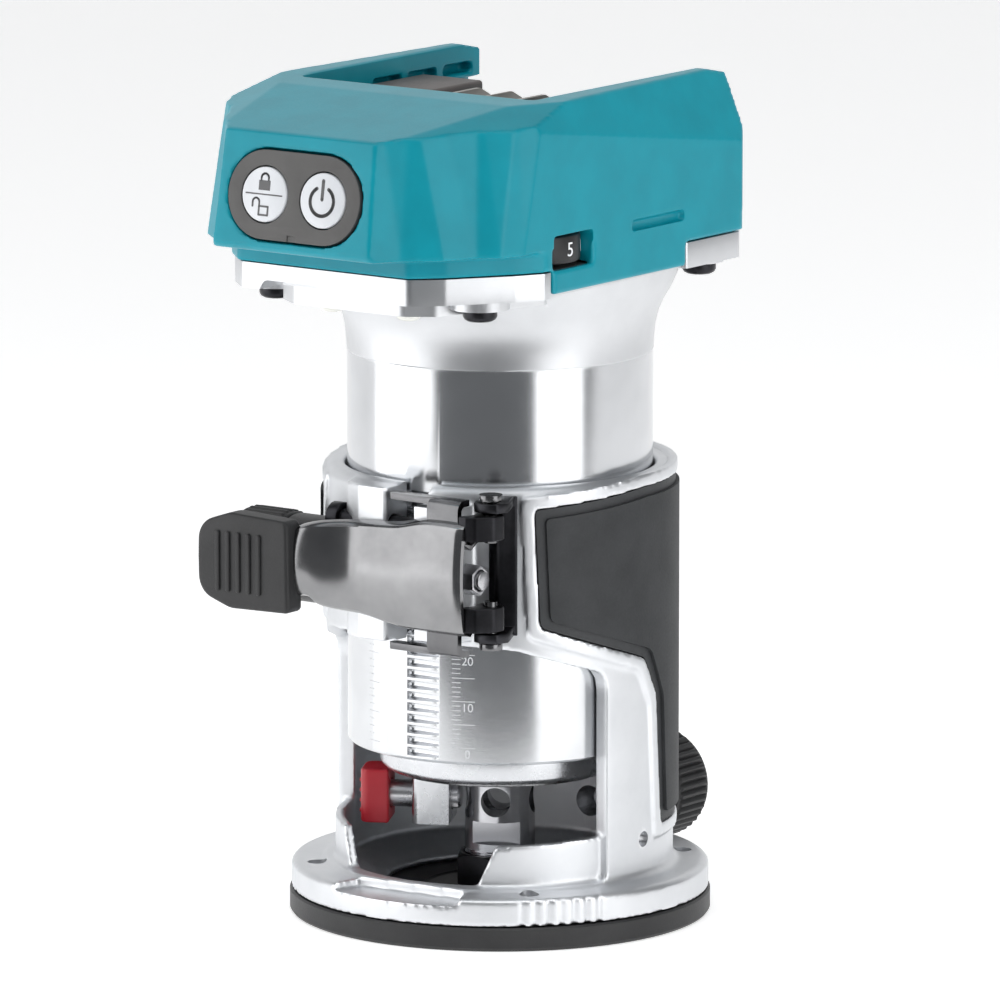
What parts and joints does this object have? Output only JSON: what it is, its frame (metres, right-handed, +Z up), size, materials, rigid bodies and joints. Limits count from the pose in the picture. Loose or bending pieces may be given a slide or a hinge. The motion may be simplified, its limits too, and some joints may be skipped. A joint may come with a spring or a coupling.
{
  "type": "trim router",
  "caption": "Cordless compact router on an open cast base, with rack depth setting, quick clamp lever, shaft lock, speed dial and rails for a slide-on battery.",
  "frame": {"origin": "middle of the footprint on the underside of the base; the spindle axis stands 6 mm behind it", "axes": "+Z up along the spindle axis, -Y to the front with the two buttons, +X to the side with the speed dial; the battery slides in from +Y"},
  "size_m": [0.09, 0.1356, 0.1808],
  "materials": {
    "black_plastic": "moulded, satin",
    "cast_aluminium": "cast and blasted",
    "turned_aluminium": "turned, brushed round",
    "grip_rubber": "fine texture",
    "steel": "machined",
    "black_steel": "black oxide",
    "dark_chrome": "black chrome",
    "red_plastic": "satin",
    "copper": "plain",
    "board_green": "lacquered board",
    "led_lens": "clear",
    "teal_plastic": "fine moulded texture",
    "panel_grey": "satin",
    "button_grey": "satin"
  },
  "bodies": {
    "base": {"sub_base": "black_plastic", "sub_base_screw_1": "steel", "sub_base_screw_2": "steel", "sub_base_screw_3": "steel", "sub_base_screw_4": "steel", "base_casting": "cast_aluminium", "grip_left": "grip_rubber", "grip_right": "grip_rubber", "clamp_bolt": "black_steel", "clamp_nut": "steel", "clamp_link": "black_steel", "hinge_bracket": "black_steel", "hinge_pin_upper": "steel", "hinge_pin_lower": "steel", "knob_spacer": "black_plastic"},
    "motor_unit": {"motor_housing": "turned_aluminium", "bearing_cap": "cast_aluminium", "lower_bearing": "steel", "upper_bearing": "steel", "upper_bearing_bracket": "cast_aluminium", "stator_core": "steel", "stator_coils": "copper", "controller_board": "board_green", "switch_board": "board_green", "led_lens_left": "led_lens", "led_lens_right": "led_lens", "head_cover": "teal_plastic", "button_panel": "panel_grey", "dial_axle": "black_plastic", "terminal_block": "black_plastic", "terminal_negative": "copper", "terminal_signal": "copper", "terminal_positive": "copper", "flange_screw_1": "black_steel", "flange_screw_2": "black_steel", "flange_screw_3": "black_steel", "flange_screw_4": "black_steel"},
    "spindle": {"spindle": "steel", "rotor_core": "steel", "fan": "black_plastic", "collet": "steel"},
    "collet_nut": {"collet_nut": "black_steel"},
    "depth_pinion": {"pinion_shaft": "steel", "depth_knob": "black_plastic", "pinion_nut": "steel"},
    "lever": {"lever_plate": "dark_chrome", "lever_pad": "black_plastic"},
    "guide_screw": {"guide_knob": "black_plastic", "guide_stud": "steel"},
    "shaft_lock": {"shaft_lock_button": "red_plastic", "shaft_lock_pin": "steel"},
    "lock_button": {"lock_button": "button_grey"},
    "power_button": {"power_button": "button_grey"},
    "speed_dial": {"speed_dial": "black_plastic"}
  },
  "joints": [
    {"name": "depth_slide", "type": "slide", "parent": "base", "child": "motor_unit", "axis": [0, 0, 1], "range_m": [-0.004, 0.035]},
    {"name": "depth_knob_turn", "type": "hinge", "parent": "base", "child": "depth_pinion", "pos_m": [0, -0.03033, 0.079], "axis": [1, 0, 0], "range_deg": [-52, 439]},
    {"name": "lever_hinge", "type": "hinge", "parent": "base", "child": "lever", "pos_m": [0.0245, -0.031, 0.079], "axis": [0, 0, 1], "range_deg": [0, 110]},
    {"name": "guide_screw_turn", "type": "hinge", "parent": "base", "child": "guide_screw", "pos_m": [0, 0.061, 0.0176], "axis": [0, 1, 0], "continuous": true},
    {"name": "spindle_spin", "type": "hinge", "parent": "motor_unit", "child": "spindle", "pos_m": [0, 0.006, 0.08], "axis": [0, 0, 1], "continuous": true},
    {"name": "collet_nut_turn", "type": "hinge", "parent": "spindle", "child": "collet_nut", "pos_m": [0, 0.006, 0.0087], "axis": [0, 0, 1], "continuous": true},
    {"name": "shaft_lock_press", "type": "slide", "parent": "motor_unit", "child": "shaft_lock", "axis": [0.8829, 0.4695, 0], "range_m": [0, 0.0045], "stiffness_N_per_m": 600, "springref_m": -0.002},
    {"name": "lock_button_press", "type": "slide", "parent": "motor_unit", "child": "lock_button", "axis": [0, 0.9884, -0.1521], "range_m": [0, 0.0008], "stiffness_N_per_m": 2000, "springref_m": -0.0006},
    {"name": "power_button_press", "type": "slide", "parent": "motor_unit", "child": "power_button", "axis": [0, 0.9884, -0.1521], "range_m": [0, 0.0008], "stiffness_N_per_m": 2000, "springref_m": -0.0006},
    {"name": "speed_dial_turn", "type": "hinge", "parent": "motor_unit", "child": "speed_dial", "pos_m": [0.03, -0.023, 0.1498], "axis": [0, 0, 1], "range_deg": [-180, 45]}
  ],
  "couplings": [
    {"joint": "depth_knob_turn", "follows": "depth_slide", "rad_per_m": 218.17}
  ]
}
